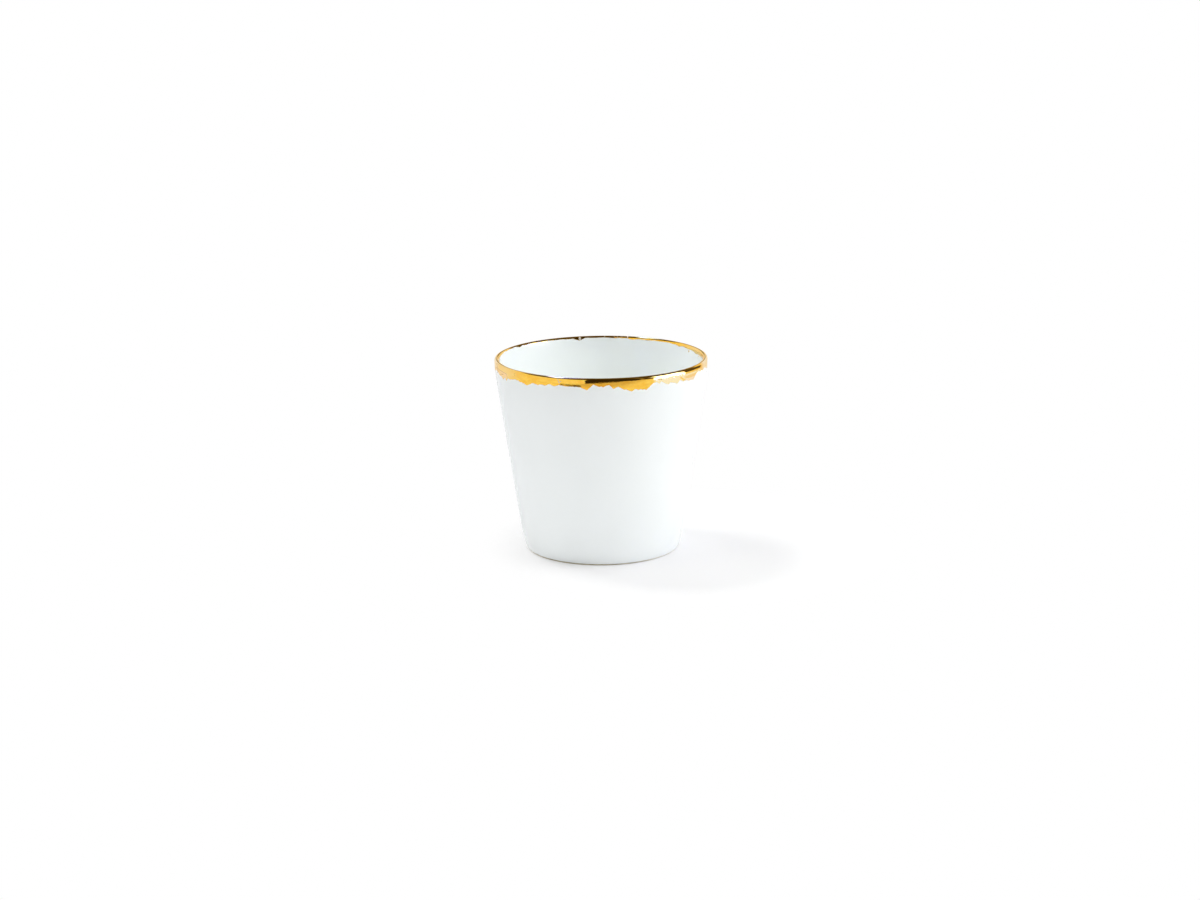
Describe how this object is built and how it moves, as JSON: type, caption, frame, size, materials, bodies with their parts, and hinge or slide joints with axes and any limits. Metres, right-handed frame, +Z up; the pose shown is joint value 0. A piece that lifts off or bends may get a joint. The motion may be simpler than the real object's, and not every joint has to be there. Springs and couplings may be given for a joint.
{
  "type": "arabic coffee cup",
  "caption": "Small handleless porcelain coffee cup, tapered, with a rounded lip, a bare foot ring and a brushed gold rim.",
  "frame": {"origin": "centre of the foot ring, on the plane the cup stands on", "axes": "+Z up along the cup's axis, -Y towards the front, the side in the picture"},
  "size_m": [0.0602, 0.0602, 0.0551],
  "materials": {
    "bisque": "matt, unglazed",
    "glaze": "gloss",
    "gold": "mirror bright"
  },
  "bodies": {
    "root": {"porcelain_body": "bisque", "glaze_coat": "glaze", "base_glaze": "glaze", "gold_rim": "gold", "gold_flecks": "gold"}
  },
  "joints": []
}
